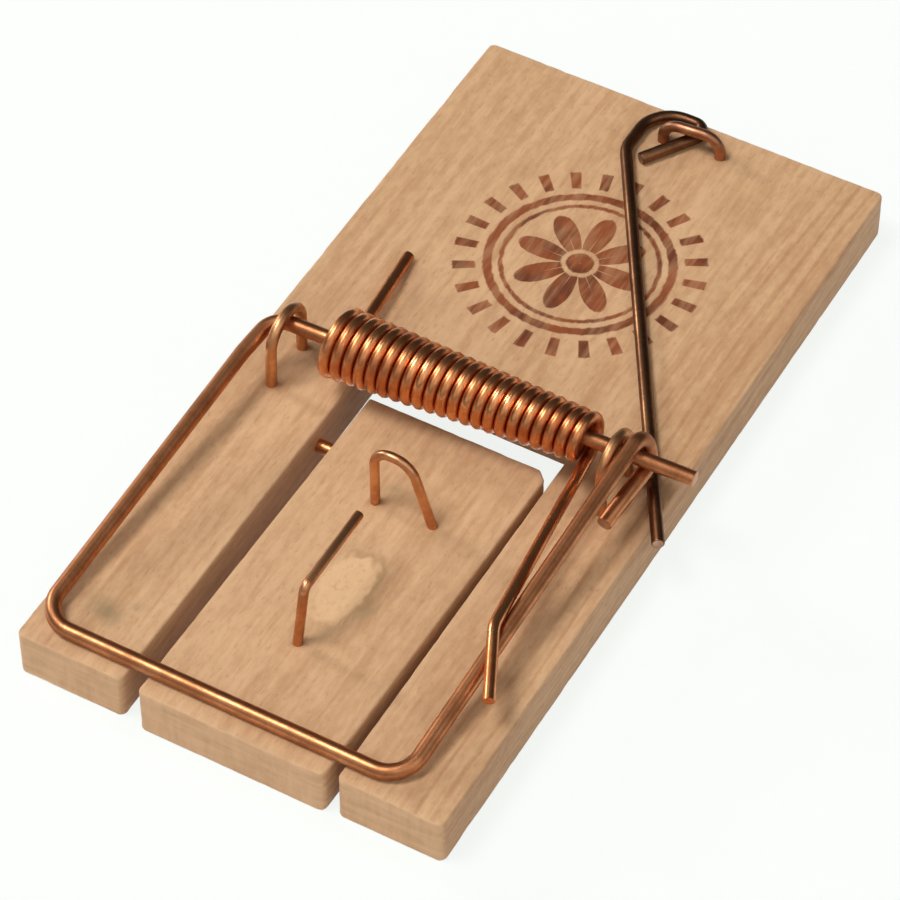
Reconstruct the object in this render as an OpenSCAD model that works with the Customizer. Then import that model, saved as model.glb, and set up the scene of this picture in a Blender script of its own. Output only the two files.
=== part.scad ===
// Snap mouse trap: a wooden board with a tilting tongue and a sprung wire striker.
// Millimetres. X runs across the board, Y along it towards the latch end, Z up.
// The origin is the centre of the board's underside.

/* [Board] */
// Width of the board
board_w = 49; // [46:0.5:56]
// Length of the board
board_l = 98; // [94:0.5:108]
// Thickness of the board
board_t = 6; // [5:0.1:8]
// Rounding of the board's four upright corners
board_corner = 1.2; // [0.4:0.1:3]
// Width of the slot cut for the tongue
slot_w = 24.6; // [24:0.1:26]
// How far the slot's middle lies to the right of the board's middle
slot_shift = 0.2; // [-0.5:0.1:0.5]
// How far the slot reaches behind the board's middle
slot_rear = 1.9; // [1.5:0.1:4]

/* [Trip pedal] */
// Gap between the tongue and the left rail
gap_left = 2.6; // [1.4:0.1:3]
// Gap between the tongue and the right rail
gap_right = 0.6; // [0.4:0.05:1.5]
// Gap between the tongue's back edge and the back of the slot
gap_rear = 6.2; // [5:0.1:7]
// How far the tongue stands out past the board's front edge
pedal_lip = 0.4; // [0:0.1:1.5]
// How far the tongue's front lies to the left of its back
pedal_slant = 0.6; // [0:0.1:1]
// Size of the nick at the tongue's right back corner
pedal_nick = 1.1; // [0.4:0.1:2]
// Height of the slope that frees the tongue's underside behind its pin
pedal_relief = 0.9; // [0.3:0.1:1.5]
// Diameter of the pin that the tongue turns on
pin_d = 1.5; // [1.2:0.1:2]
// Length of the pin
pin_l = 42; // [34:0.5:46]
// Distance of the pin from the tongue's back edge
pin_back = 6.3; // [5:0.1:8]
// Height of the pin above the board's underside
pin_z = 3.2; // [2.4:0.1:3.6]
// Radial running clearance of the tongue on its pin
pin_fit = 0.05; // [0.02:0.01:0.1]

/* [Striker] */
// Diameter of the striker's wire
striker_d = 1.7; // [1.4:0.1:2]
// Height of the axle's centre above the board's top
axle_lift = 6; // [5.6:0.1:7]
// Place of the axle along the board
axle_y = -3.4; // [-4.2:0.1:-3]
// Angle by which the axle slants back towards its right end
axle_skew = 1.9; // [0:0.1:2.4]
// How far the axle's free end stands out past the board's right edge
axle_over = 3; // [1:0.1:4]
// Distance from the axle to the front bar, along the board
striker_reach = 43.3; // [38:0.1:44]
// Distance from the board's left edge to the left arm at the front bar
arm_left_inset = 1.4; // [0.9:0.1:2.1]
// Distance from the board's right edge to the right arm at the front bar
arm_right_inset = 5.8; // [5.2:0.1:6.4]
// How far the left arm leans to the right on its way to the axle
lean_left = 1.9; // [1:0.1:2.1]
// How far the right arm leans to the right on its way to the axle
lean_right = 2; // [1.6:0.1:2.6]
// Inside rounding of the front bar's two corners
bar_bend = 3.4; // [2:0.1:6]
// Length of the tail that runs forward from the hook
tail_l = 9.4; // [6:0.1:12]
// Gap between the board and a wire that lies on it
bar_rest = 0.02; // [0.01:0.01:0.1]

/* [Torsion spring] */
// Number of turns
turns = 22; // [14:1:22]
// Diameter of the spring's wire, thinner than the real one so that the turns stay apart
spring_d = 0.88; // [0.6:0.02:0.9]
// Outer radius of the first turn, at the left
coil_r_left = 4.05; // [3.4:0.05:4.4]
// Outer radius of the last turn, at the right
coil_r_right = 2.85; // [2.5:0.05:4]
// Distance from the board's middle to the spring's left end
coil_left = 14.2; // [13.8:0.1:15.4]
// Distance from the board's middle to the spring's right end
coil_right = 16.4; // [15.6:0.1:16.6]
// Length along the board of the leg that presses on the board
back_leg = 18.3; // [12:0.1:24]
// Length along the board of the leg that runs to the striker's right arm
front_leg = 25.2; // [24:0.1:27]
// Length along the board of the finger that crosses the arm
finger_l = 7.6; // [6:0.1:9]
// How far past the arm the finger reaches
finger_over = 3.2; // [2:0.1:4]

/* [Axle staples] */
// Diameter of the staples' wire
staple_d = 1.25; // [1:0.05:1.4]
// Distance between the two legs of an axle staple
staple_w = 6.1; // [5.2:0.1:7]
// Distance from the board's left edge to the left axle staple
staple_left_inset = 5.2; // [5.1:0.1:5.9]
// Distance from the board's right edge to the right axle staple
staple_right_inset = 5.7; // [5.6:0.1:6.3]
// Depth that every wire is driven into the wood
drive_depth = 4; // [2.5:0.1:4.5]
// Play of the axle under the staples' crowns
axle_play = 0.25; // [0.25:0.05:0.5]
// Radial clearance of driven wires in their holes
wire_fit = 0.03; // [0.02:0.01:0.08]

/* [Latch] */
// Diameter of the latch rod's wire
rod_d = 1.4; // [1.2:0.1:1.6]
// How far the rod's tip reaches past the axle's middle, along the board
rod_past = 4.5; // [0:0.1:8]
// Distance from the right axle staple to the rod's tip, across the board
rod_aside = 7.5; // [6.6:0.1:8.4]
// Width of the rod's open eye
eye_w = 7.3; // [6.8:0.1:7.6]
// Distance between the two legs of the latch staple
latch_w = 6.7; // [6.4:0.1:8]
// Place of the latch staple's left leg across the board
latch_x = -0.4; // [-1:0.1:0.4]
// Distance from the board's back edge to the latch staple
latch_inset = 4.4; // [4.2:0.1:5.6]
// Height of the latch staple's middle line above the board's top
latch_h = 2.7; // [2.6:0.1:4]

/* [Bait end] */
// Diameter of the hoop's and the spike's wire
bait_d = 1.05; // [0.9:0.05:1.3]
// Distance from the board's middle to the catch hoop's left leg
hoop_left = 1.8; // [0.8:0.1:2.4]
// Distance between the catch hoop's two legs
hoop_w = 6.7; // [6.2:0.1:8]
// Height of the catch hoop's middle line above the tongue's top
hoop_h = 8.1; // [7:0.1:10]
// Distance from the pin to the catch hoop
hoop_front = 5.9; // [4.5:0.1:7]
// Place of the bait spike's foot across the board
spike_x = 0.7; // [-1:0.1:2]
// Distance from the catch hoop to the bait spike's foot
spike_front = 19.8; // [16:0.1:22]
// Height of the bait spike's bend above the tongue's top
spike_h = 7.8; // [6:0.1:9]
// Length of the bait spike's arm
spike_l = 10.5; // [8:0.1:12]

/* [Hidden] */

WOOD = "burlywood";
COPPER = "peru";
DARK_WIRE = "saddlebrown";

// A little more than nothing, so that cuts pass right through
over = 1;
// Facets that stand for a true circle
round_fn = 48;
// Clearance between wires that cross
wire_gap = 0.06;
// The hair by which a bend is thinner than the wire's straight stretches, and its lap in them
seam = 0.01;
lap = 0.1;

// Slot and tongue, from the slot's walls inwards
slot_x0 = slot_shift - slot_w / 2;
slot_x1 = slot_shift + slot_w / 2;
pedal_x0 = slot_x0 + gap_left;
pedal_x1 = slot_x1 - gap_right;
pedal_y1 = slot_rear - gap_rear;
pedal_y0 = -board_l / 2 - pedal_lip;
pin_y = pedal_y1 - pin_back;
// Share of the nick's depth that its outer side takes
nick_slope = 0.6;

// Striker wire: axle, left arm, front bar, right arm, hook round the axle, tail
axle_z = board_t + axle_lift;
bar_y = axle_y - striker_reach;
bar_z = board_t + striker_d / 2 + bar_rest;
arm_left = board_w / 2 - arm_left_inset;
arm_right = board_w / 2 - arm_right_inset;
arm_left_x = -arm_left + lean_left;
hook_x = arm_right + lean_right;
hook_r = striker_d + 0.05;
// The shoulder, where the left arm turns towards the axle: how far it lies in front of the
// axle, below it and to the left of the axle's left end
shoulder_front = 5.9;
shoulder_drop = 0.65;
shoulder_out = 0.6;
axle_left_x = arm_left_x + 0.1;
// How far the hook leans to the right over its height, and how far the tail leans back
hook_lean = 1.2;
tail_lean = 0.6;
STRIKER = [
    axle_at(board_w / 2 + axle_over),
    axle_at(axle_left_x),
    [axle_left_x - shoulder_out, axle_y - shoulder_front, axle_z - shoulder_drop],
    [-arm_left, bar_y, bar_z],
    [arm_right, bar_y, bar_z],
    axle_at(hook_x) + [0, hook_r, hook_r * 1.2],
    axle_at(hook_x) + [hook_lean, hook_r, -hook_r * 1.06],
    axle_at(hook_x) + [tail_lean, hook_r - tail_l, -hook_r * 1.43]
];
axle_bend = 2.4;
shoulder_bend = 7;
STRIKER_BENDS = [axle_bend, shoulder_bend, bar_bend, bar_bend, hook_r, hook_r];

// Staples over the axle: one arch each, its crown just clear of the axle
staple_r = staple_w / 2;
staple_top = axle_z + striker_d / 2 + axle_play + staple_d / 2;
staple_left = board_w / 2 - staple_left_inset;
staple_right = board_w / 2 - staple_right_inset;
// How far a staple's middle stands in front of the axle
staple_forward = 0.6;

// Torsion spring: outer radii and ends give the helix of its middle line
spring_r = spring_d / 2;
helix_r0 = coil_r_left - spring_r;
helix_r1 = coil_r_right - spring_r;
helix_x0 = -coil_left + spring_r;
helix_x1 = coil_right - spring_r;
RINGS = 8;
SIDES = 6;
// The back leg lies on the board at its tip, and the finger lies across the right arm
back_leg_out = 2;
back_tip = [helix_x0 - back_leg_out, axle_y + back_leg, board_t + spring_r + bar_rest];
finger_rise = striker_d / 2 + spring_r + wire_gap;
// How far the front leg meets the finger to the left of the arm's middle line
finger_inside = 0.8;
finger_root = arm_at(axle_y - front_leg) + [-finger_inside, 0, finger_rise];
finger_tip = arm_at(axle_y - front_leg - finger_l) + [finger_over, 0, finger_rise];

// Latch staple and rod: the rod's eye goes round the staple's left leg
latch_y = board_l / 2 - latch_inset;
// How far the staple's right leg stands behind its left one
latch_skew = 0.6;
latch_bend = 2;
rod_z = board_t + rod_d / 2 + bar_rest;
// The eye's left, front and back from the staple's left leg, and its open end from its corner
eye_x0 = latch_x - 2.7;
eye_y0 = latch_y - 3.8;
eye_y1 = latch_y + 3.4;
eye_end_x = 2.2;
eye_end_y = 0.7;
ROD = [
    [staple_right + rod_aside, axle_y - rod_past, rod_z],
    [eye_x0, eye_y0, rod_z],
    [eye_x0, eye_y1, rod_z],
    [eye_x0 + eye_w, eye_y1, rod_z],
    [eye_x0 + eye_end_x, eye_y0 - eye_end_y, rod_z]
];
ROD_BENDS = [4, 3.8, 1.3];

// Hoop and spike on the tongue
hoop_y = pin_y - hoop_front;
hoop_top = board_t + hoop_h;
// Width of the hoop's top, from which its right leg spreads
hoop_crown = 4.2;
spike_y = hoop_y - spike_front;
HOOP_CORNER = [-hoop_left + hoop_crown, hoop_y, hoop_top];
HOOP = [
    [-hoop_left, hoop_y, board_t - drive_depth],
    [-hoop_left, hoop_y, hoop_top],
    HOOP_CORNER,
    driven_end(HOOP_CORNER, [-hoop_left + hoop_w, hoop_y, board_t])
];
HOOP_BENDS = [2, 2.6];
// The spike leans back and to the right, and its arm climbs a little
SPIKE_LEAN = [0.4, 1, spike_h];
SPIKE_ARM = [0.2, spike_l, 0.6];
SPIKE_BEND = [spike_x, spike_y, board_t] + SPIKE_LEAN;
SPIKE = [
    driven_end(SPIKE_BEND, [spike_x, spike_y, board_t]),
    SPIKE_BEND,
    SPIKE_BEND + SPIKE_ARM
];
SPIKE_BENDS = [0.9];

// The point of the axle's middle line at the place x across the board
function axle_at(x) = [x, axle_y + x * tan(axle_skew), axle_z];

// The point of the right arm's middle line at the place y along the board
function arm_at(y) = STRIKER[4]
    + (STRIKER[5] - STRIKER[4]) * (y - STRIKER[4][1]) / (STRIKER[5][1] - STRIKER[4][1]);

// The place along the board of the middle of a staple that stands at x
function staple_y(x) = axle_at(x)[1] - staple_forward;

function unit(v) = v / norm(v);

// Where a wire that comes down from a and enters the wood at foot ends inside it
function driven_end(a, foot) = foot + (foot - a) * drive_depth / (a[2] - foot[2]);

// Angle in degrees between the two stretches that meet at the middle point
function corner(a, b, c) = acos(max(-1, min(1, unit(a - b) * unit(c - b))));

// Length that a bend of radius r takes from each stretch at the middle point
function setback(a, b, c, r) = r <= 0 ? 0 : r / tan(corner(a, b, c) / 2);

// Places its child at a, with the child's Z axis turned towards run
module aimed(a, run) {
    translate(a)
        rotate([0, acos(run[2] / norm(run)), atan2(run[1], run[0])])
            children();
}

// A straight round stretch of wire from a to b
module stretch(a, b, d) {
    aimed(a, b - a)
        cylinder(d = d, h = norm(b - a), $fn = round_fn);
}

// A round bend of wire of radius r at b, between stretches from a and to c.
// It is a hair thinner than the stretches, and its ends lap into them.
module bend(a, b, c, r, d) {
    u = unit(a - b);
    v = unit(c - b);
    half = corner(a, b, c) / 2;
    centre = b + unit(u + v) * r / sin(half);
    ex = unit(b + u * setback(a, b, c, r) - centre);
    ey = -u;
    ez = cross(ex, ey);
    lap_angle = lap / r * 180 / PI;
    multmatrix([
        [ex[0], ey[0], ez[0], centre[0]],
        [ex[1], ey[1], ez[1], centre[1]],
        [ex[2], ey[2], ez[2], centre[2]],
        [0, 0, 0, 1]
    ])
        rotate([0, 0, -lap_angle])
            rotate_extrude(angle = 180 - 2 * half + 2 * lap_angle, $fn = round_fn)
                translate([r, 0])
                    circle(d = d - 2 * seam, $fn = round_fn);
}

// A wire through the points p, bent to the radii r at all but the first and last
module wire(p, r, d) {
    last = len(p) - 1;
    cut = [for (i = [0 : last])
        i == 0 || i == last ? 0 : setback(p[i - 1], p[i], p[i + 1], r[i - 1])];
    union() {
        for (i = [0 : last - 1]) {
            along = unit(p[i + 1] - p[i]);
            stretch(p[i] + along * cut[i], p[i + 1] - along * cut[i + 1], d);
        }
        for (i = [1 : last - 1])
            bend(p[i - 1], p[i], p[i + 1], r[i - 1], d);
    }
}

// The hole for a wire of diameter d that is driven to the point low along the line from high
module driven_hole(low, high, d) {
    stretch(low - unit(high - low) * wire_fit, high, d + 2 * wire_fit);
}

// Holes straight down into the wood for a staple's legs at the given places
module staple_holes(places) {
    for (place = places)
        driven_hole([place[0], place[1], board_t - drive_depth],
            [place[0], place[1], board_t + over], staple_d);
}

// A staple with an arched crown, its legs along the board
module axle_staple(x) {
    arch_z = staple_top - staple_r;
    y = staple_y(x);
    for (side = [-1, 1])
        stretch([x, y + side * staple_r, board_t - drive_depth],
            [x, y + side * staple_r, arch_z], staple_d);
    translate([x, y, arch_z])
        rotate([90, 0, 90])
            rotate_extrude(angle = 180, $fn = round_fn)
                translate([staple_r, 0])
                    circle(d = staple_d, $fn = round_fn);
}

// Outline of a rectangle with rounded corners
module rounded_outline(w, l, r) {
    square([w - 2 * r, l], center = true);
    square([w, l - 2 * r], center = true);
    for (sx = [-1, 1])
        for (sy = [-1, 1])
            translate([sx * (w / 2 - r), sy * (l / 2 - r)])
                circle(r = r, $fn = round_fn);
}

module base_board() {
    color(WOOD)
        difference() {
            linear_extrude(board_t)
                difference() {
                    rounded_outline(board_w, board_l, board_corner);
                    translate([slot_x0, -board_l / 2 - over])
                        square([slot_w, board_l / 2 + slot_rear + over]);
                }
            translate([slot_shift, pin_y, pin_z])
                rotate([0, 90, 0])
                    cylinder(d = pin_d + 2 * wire_fit, h = pin_l + 2 * wire_fit,
                        center = true, $fn = round_fn);
            for (x = [-staple_left, staple_right])
                staple_holes([[x, staple_y(x) - staple_r], [x, staple_y(x) + staple_r]]);
            staple_holes([[latch_x, latch_y], [latch_x + latch_w, latch_y + latch_skew]]);
        }
}

module trip_pedal() {
    color(WOOD)
        difference() {
            linear_extrude(board_t)
                polygon([
                    [pedal_x0 - pedal_slant, pedal_y0],
                    [pedal_x1 - pedal_slant, pedal_y0],
                    [pedal_x1, pedal_y1 - pedal_nick],
                    [pedal_x1 - pedal_nick, pedal_y1 - pedal_nick * nick_slope],
                    [pedal_x1 - pedal_nick, pedal_y1],
                    [pedal_x0, pedal_y1]
                ]);
            translate([pedal_x0 - over, pin_y, pin_z])
                rotate([0, 90, 0])
                    cylinder(r = pin_d / 2 + pin_fit, h = pedal_x1 - pedal_x0 + 2 * over,
                        $fn = round_fn);
            // the underside slopes up behind the pin, so that the front can tip up
            translate([pedal_x0 - over, pin_y, 0])
                rotate([90, 0, 90])
                    linear_extrude(pedal_x1 - pedal_x0 + 2 * over)
                        polygon([
                            [0, 0],
                            [0, -over],
                            [pin_back + over, -over],
                            [pin_back + over, pedal_relief * (pin_back + over) / pin_back]
                        ]);
            driven_hole(HOOP[0], HOOP[1], bait_d);
            driven_hole(HOOP[3], HOOP[2], bait_d);
            driven_hole(SPIKE[0], SPIKE[1], bait_d);
        }
}

module pedal_pin() {
    color(COPPER)
        translate([slot_shift - pin_l / 2, pin_y, pin_z])
            rotate([0, 90, 0])
                cylinder(d = pin_d, h = pin_l, $fn = round_fn);
}

module striker_bar() {
    color(COPPER)
        wire(STRIKER, STRIKER_BENDS, striker_d);
}

module left_axle_staple() {
    color(COPPER)
        axle_staple(-staple_left);
}

module right_axle_staple() {
    color(COPPER)
        axle_staple(staple_right);
}

module latch_rod() {
    color(DARK_WIRE)
        wire(ROD, ROD_BENDS, rod_d);
}

module latch_staple() {
    a = [latch_x, latch_y, board_t - drive_depth];
    b = [latch_x + latch_w, latch_y + latch_skew, board_t - drive_depth];
    rise = [0, 0, drive_depth + latch_h];
    color(COPPER)
        wire([a, a + rise, b + rise, b], [latch_bend, latch_bend], staple_d);
}

module catch_hoop() {
    color(COPPER)
        wire(HOOP, HOOP_BENDS, bait_d);
}

module bait_spike() {
    color(COPPER)
        wire(SPIKE, SPIKE_BENDS, bait_d);
}

// The spring's middle line: back leg, turns from below the axle, front leg and finger
function helix(k) =
    let (part = k / (turns * RINGS), r = helix_r0 + (helix_r1 - helix_r0) * part)
    axle_at(helix_x0 + (helix_x1 - helix_x0) * part)
        + [0, -r * sin(360 * k / RINGS), -r * cos(360 * k / RINGS)];

function between(a, b, steps, skip) =
    [for (i = [skip : steps - skip]) a + (b - a) * i / steps];

SPRING = concat(
    between(back_tip, helix(0), 6, 0),
    [for (k = [1 : turns * RINGS - 1]) helix(k)],
    between(helix(turns * RINGS), finger_root, 8, 0),
    [for (i = [1 : 3]) finger_root + (finger_tip - finger_root) * i / 3]
);

// One step of carrying the cross direction n along, kept square to the direction t
function carried(n, t) = unit(n - t * (n * t));

module tube(p, r, sides) {
    last = len(p) - 1;
    t = [for (i = [0 : last]) unit(p[min(i + 1, last)] - p[max(i - 1, 0)])];
    n = [for (i = 0, m = carried([0, 0, 1], t[0]); i <= last;
        i = i + 1, m = carried(m, t[min(i, last)])) m];
    pts = [for (i = [0 : last])
        let (side = cross(t[i], n[i]))
        for (j = [0 : sides - 1])
            p[i] + r * (n[i] * cos(360 * j / sides) + side * sin(360 * j / sides))];
    walls = [for (i = [0 : last - 1])
        for (j = [0 : sides - 1])
            let (a = i * sides + j, b = i * sides + (j + 1) % sides)
            for (f = [[a, a + sides, b], [b, a + sides, b + sides]]) f];
    caps = [for (j = [1 : sides - 2])
        for (f = [[0, j, j + 1],
            [last * sides, last * sides + j + 1, last * sides + j]]) f];
    polyhedron(points = pts, faces = concat(walls, caps));
}

module torsion_spring() {
    color(COPPER)
        tube(SPRING, spring_r, SIDES);
}

// Least gap between neighbouring turns, measured on the middle line's points
turn_gap = min([for (k = [0 : (turns - 1) * RINGS])
    for (j = [-1 : 1])
        norm(helix(k) - helix(k + RINGS + (k + RINGS + j <= turns * RINGS ? j : 0)))]) - spring_d;
echo(spring_least_gap = turn_gap);

base_board();
trip_pedal();
pedal_pin();
striker_bar();
torsion_spring();
left_axle_staple();
right_axle_staple();
latch_rod();
latch_staple();
catch_hoop();
bait_spike();
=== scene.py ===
# A snap mouse trap: a beech board with a tilting tongue, a sprung wire striker and a latch rod.
# Everything is in metres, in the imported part's own frame; sizes below are written in millimetres.
import math

import bmesh
import bpy
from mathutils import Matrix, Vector, noise


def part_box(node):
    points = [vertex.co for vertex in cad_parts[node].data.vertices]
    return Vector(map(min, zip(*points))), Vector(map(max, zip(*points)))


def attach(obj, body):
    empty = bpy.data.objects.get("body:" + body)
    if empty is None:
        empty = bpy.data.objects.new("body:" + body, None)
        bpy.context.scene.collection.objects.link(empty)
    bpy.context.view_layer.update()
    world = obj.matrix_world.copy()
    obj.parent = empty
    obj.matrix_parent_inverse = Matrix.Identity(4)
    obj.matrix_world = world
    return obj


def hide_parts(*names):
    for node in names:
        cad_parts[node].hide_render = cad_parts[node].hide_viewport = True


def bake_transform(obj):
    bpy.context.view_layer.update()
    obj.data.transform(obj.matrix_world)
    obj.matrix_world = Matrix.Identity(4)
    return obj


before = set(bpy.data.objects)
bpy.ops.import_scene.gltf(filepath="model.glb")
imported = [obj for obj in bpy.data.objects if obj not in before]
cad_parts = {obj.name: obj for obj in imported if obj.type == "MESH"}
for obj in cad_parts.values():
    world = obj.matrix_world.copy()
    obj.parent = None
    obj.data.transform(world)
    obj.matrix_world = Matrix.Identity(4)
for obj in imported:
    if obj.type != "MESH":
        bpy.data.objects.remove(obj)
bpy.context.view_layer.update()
scene = bpy.context.scene
mm = 0.001


# ---- Camera, lamps and table
# The camera looks down on the trap over its front right corner, with a long lens.
# A soft lamp hangs over the left side, two broad ones stand in front and at the right, and
# a small one at the left draws thin lights along the wires.
VIEW_AZIMUTH = math.radians(29.33)
VIEW_ELEVATION = math.radians(48.72)
VIEW_DISTANCE = 458.8 * mm
VIEW_ASIDE = 2.01 * mm
VIEW_RAISED = 0.88 * mm
LENS = 174.13
AROUND = (math.cos(VIEW_AZIMUTH), math.sin(VIEW_AZIMUTH))
ABOVE = (math.cos(VIEW_ELEVATION), math.sin(VIEW_ELEVATION))
view_right = Vector((AROUND[0], AROUND[1], 0))
view_up = Vector((-ABOVE[1] * AROUND[1], ABOVE[1] * AROUND[0], ABOVE[0]))
view_back = Vector((AROUND[1] * ABOVE[0], -AROUND[0] * ABOVE[0], ABOVE[1]))

bpy.ops.object.camera_add(
    location=view_back * VIEW_DISTANCE - view_right * VIEW_ASIDE - view_up * VIEW_RAISED)
camera = bpy.context.object
camera.rotation_mode = "QUATERNION"
camera.rotation_quaternion = (-view_back).to_track_quat("-Z", "Y")
camera.data.lens = LENS
camera.data.sensor_width = 36
camera.data.clip_start = 0.01
camera.data.dof.use_dof = False
scene.camera = camera
scene.view_settings.view_transform = "Standard"


def soft_lamp(direction, distance, size, power):
    """A square soft box that looks at the middle of the trap from a direction."""
    towards = Vector(direction).normalized()
    bpy.ops.object.light_add(type="AREA", location=towards * distance)
    lamp = bpy.context.object
    lamp.rotation_euler = (-towards).to_track_quat("-Z", "Y").to_euler()
    lamp.data.size = size
    lamp.data.energy = power


soft_lamp(direction=(-0.32, -0.24, 0.92), distance=1.5, size=0.5, power=13.5)
soft_lamp(direction=(-0.05, -1.0, 1.05), distance=3.0, size=3.9, power=28.0)
soft_lamp(direction=(1.0, -0.4, 0.9), distance=3.0, size=3.3, power=32.0)
soft_lamp(direction=(-0.9, 0.12, 0.42), distance=1.2, size=0.17, power=4.5)

ROOM_COLOUR = (1.0, 0.985, 0.96, 1)
ROOM_STRENGTH = 0.05
world = bpy.data.worlds.new("dim_room")
scene.world = world
world.use_nodes = True
world.node_tree.nodes["Background"].inputs["Color"].default_value = ROOM_COLOUR
world.node_tree.nodes["Background"].inputs["Strength"].default_value = ROOM_STRENGTH


def put(tree, kind, inputs=(), **settings):
    """Adds a node to a tree, sets it, and joins or fills its inputs."""
    made = tree.nodes.new("ShaderNode" + kind)
    for name, value in settings.items():
        setattr(made, name, value)
    for key, value in dict(inputs).items():
        if isinstance(value, bpy.types.NodeSocket):
            tree.links.new(value, made.inputs[key])
        else:
            made.inputs[key].default_value = value
    return made


def new_material(name):
    """An empty node material and its node tree."""
    made = bpy.data.materials.new(name)
    made.use_nodes = True
    made.node_tree.nodes.clear()
    return made, made.node_tree


# The camera and shiny things see the paper as glowing white, with the shadows left on it.
# To all other light it is plain white paper.
PAPER_GLOW = 0.86
GLOW_COLOUR = (0.97, 1.0, 0.97, 1)
PAPER_COLOUR = (0.85, 0.85, 0.84, 1)
SHADOW_TONES = ((0.11, 0.11, 0.11, 1), (0.12, 0.12, 0.12, 1))
TABLE_SIZE = 4
TABLE_DROP = 0.02 * mm
bpy.ops.mesh.primitive_plane_add(size=TABLE_SIZE, location=(0, 0, -TABLE_DROP))
table_top = bpy.context.object
table_top.name = "table_top"
paper, tree = new_material("white_paper")
light_path = put(tree, "LightPath")
shiny_ray = put(tree, "Math", {0: light_path.outputs["Is Glossy Ray"],
    1: light_path.outputs["Is Transmission Ray"]}, operation="ADD")
seen = put(tree, "Math", {0: light_path.outputs["Is Camera Ray"],
    1: shiny_ray.outputs[0]}, operation="ADD", use_clamp=True)
glow = put(tree, "Math", {0: seen.outputs[0], 1: PAPER_GLOW}, operation="MULTIPLY")
paper_speck = put(tree, "TexNoise", {"Scale": 900.0, "Detail": 3.0})
faint_tone = put(tree, "MixRGB", {0: paper_speck.outputs["Fac"],
    1: SHADOW_TONES[0], 2: SHADOW_TONES[1]})
paper_tone = put(tree, "MixRGB", {0: seen.outputs[0],
    1: PAPER_COLOUR, 2: faint_tone.outputs[0]})
shader = put(tree, "BsdfPrincipled", {"Base Color": paper_tone.outputs[0], "Roughness": 0.9,
    "Emission Color": GLOW_COLOUR, "Emission Strength": glow.outputs[0]})
put(tree, "OutputMaterial", {"Surface": shader.outputs[0]})
table_top.data.materials.append(paper)


# ---- Base board
# A sawn beech board with a slot for the tongue, so that two rails run to its front end.
# Its arrises are worn round, the slot's walls are darkened partly by the saw and partly with painted
# shade, the wood is darker round the wires' feet, and soft shadows of wires are painted on its top.
board_low, board_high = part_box("base_board")
board_top = board_high.z
board_front = board_low.y
SLOT_LEFT = -12.1 * mm
SLOT_RIGHT = 12.5 * mm
SLOT_REAR = 1.9 * mm
CORNER = 0.8 * mm
CORNER_STEPS = 5
ARRIS = 0.26 * mm
ARRIS_STEPS = 3
WOOD_GRID = 0.8 * mm
RUB_REACH = 1.1 * mm
RUB_LEAST = 0.03 * mm
RUB_MORE = 0.16 * mm
PLANING_WAVES = 0.012 * mm
STAIN_DEPTH = 1.5 * mm
SLOT_MARGIN = 0.5 * mm
SLOT_DARKENING_BELOW = 0.35 * mm
# Dirt and painted shade on the walls of the two gaps
LEFT_GAP_DIRT_AND_SHADE = 0.22
RIGHT_GAP_DIRT_AND_SHADE = 0.06
# Half sizes of the darker spot round each staple's foot
FOOT_DARK_SPOT = (0.9, 0.9)


def select_alone(piece):
    """Leaves one object selected and active."""
    bpy.ops.object.select_all(action="DESELECT")
    piece.select_set(True)
    bpy.context.view_layer.objects.active = piece


def pick(piece, kind, test):
    """In edit mode, selects only the faces, edges or vertices that pass a test."""
    bpy.ops.mesh.select_mode(type={"faces": "FACE", "edges": "EDGE", "verts": "VERT"}[kind])
    bpy.ops.mesh.select_all(action="DESELECT")
    shape = bmesh.from_edit_mesh(piece.data)
    shape.normal_update()
    for part in getattr(shape, kind):
        part.select = test(part)
    shape.select_flush_mode()
    bmesh.update_edit_mesh(piece.data)


def block(name, low, high):
    """A rectangular block of wood between two corners, left in edit mode."""
    bpy.ops.object.select_all(action="DESELECT")
    bpy.ops.mesh.primitive_cube_add(size=1, location=(low + high) / 2, scale=high - low)
    piece = bpy.context.object
    piece.name = name
    bpy.ops.object.transform_apply(location=True, rotation=True, scale=True)
    bpy.ops.object.mode_set(mode="EDIT")
    return piece


def saw_through(x):
    """Cuts the block being edited across at x, and keeps both sides."""
    bpy.ops.mesh.select_all(action="SELECT")
    bpy.ops.mesh.bisect(plane_co=(x, 0, 0), plane_no=(1, 0, 0))


def middle(part):
    """The middle of an edge."""
    return (part.verts[0].co + part.verts[1].co) / 2


def upright(edge):
    """Whether an edge stands on end."""
    run = edge.verts[1].co - edge.verts[0].co
    return abs(run.z) > 0.9 * run.length


def fine_grid(piece, spacing):
    """Scores the block being edited with an even grid, so that wear can be carved into it."""
    for axis in range(3):
        normal = [float(axis == number) for number in range(3)]
        shape = bmesh.from_edit_mesh(piece.data)
        reach = [vertex.co[axis] for vertex in shape.verts]
        low = min(reach)
        high = max(reach)
        count = round((high - low) / spacing)
        for step in range(1, count):
            at = low + (high - low) * step / count
            bpy.ops.mesh.select_all(action="SELECT")
            bpy.ops.mesh.bisect(plane_co=[at * n for n in normal], plane_no=normal)


def finish_wood(piece):
    """Shades the flat faces flat, and the small curves of the arrises smooth."""
    select_alone(piece)
    bpy.ops.object.shade_smooth_by_angle(angle=math.radians(50))
    even = piece.modifiers.new("even_shading", "WEIGHTED_NORMAL")
    even.keep_sharp = True
    bpy.ops.object.modifier_apply(modifier="even_shading")


def distance_to(place, start, end):
    """How far a place is from a straight arris."""
    along = end - start
    share = max(0.0, min(1.0, (place - start).dot(along) / along.length_squared))
    return (place - start - along * share).length


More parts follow.
